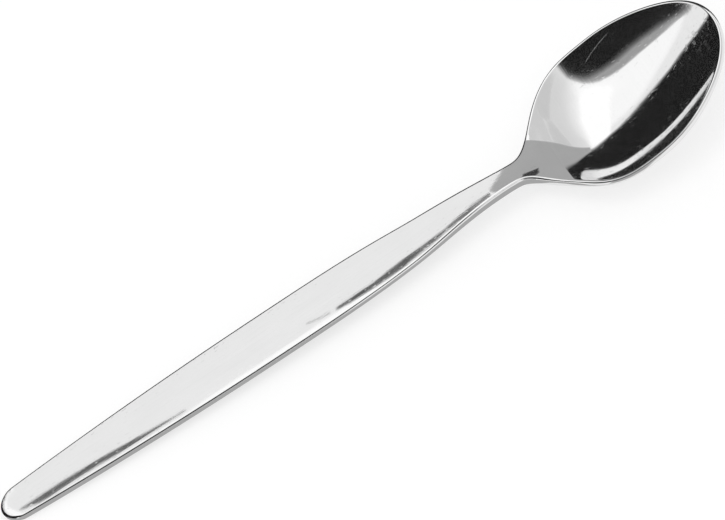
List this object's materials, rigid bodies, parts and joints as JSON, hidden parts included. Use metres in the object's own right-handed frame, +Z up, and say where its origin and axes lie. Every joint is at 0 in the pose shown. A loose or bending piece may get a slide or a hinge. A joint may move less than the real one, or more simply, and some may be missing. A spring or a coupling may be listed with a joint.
{
  "type": "teaspoon",
  "caption": "Stainless steel teaspoon with a pointed oval bowl, a slim arched neck and a flat tapering handle with a round end.",
  "frame": {"origin": "on the surface the spoon lies on, below the middle of its length and width", "axes": "+X along the spoon from the end of the handle to the tip of the bowl, +Y across it, +Z up out of the bowl"},
  "size_m": [0.1398, 0.0294, 0.0109],
  "materials": {
    "polished_steel": "polished stainless steel with fine polishing lines, neutral grey, bright rim and eased edges"
  },
  "bodies": {
    "root": {"bowl": "polished_steel", "neck": "polished_steel", "handle": "polished_steel"}
  },
  "joints": []
}
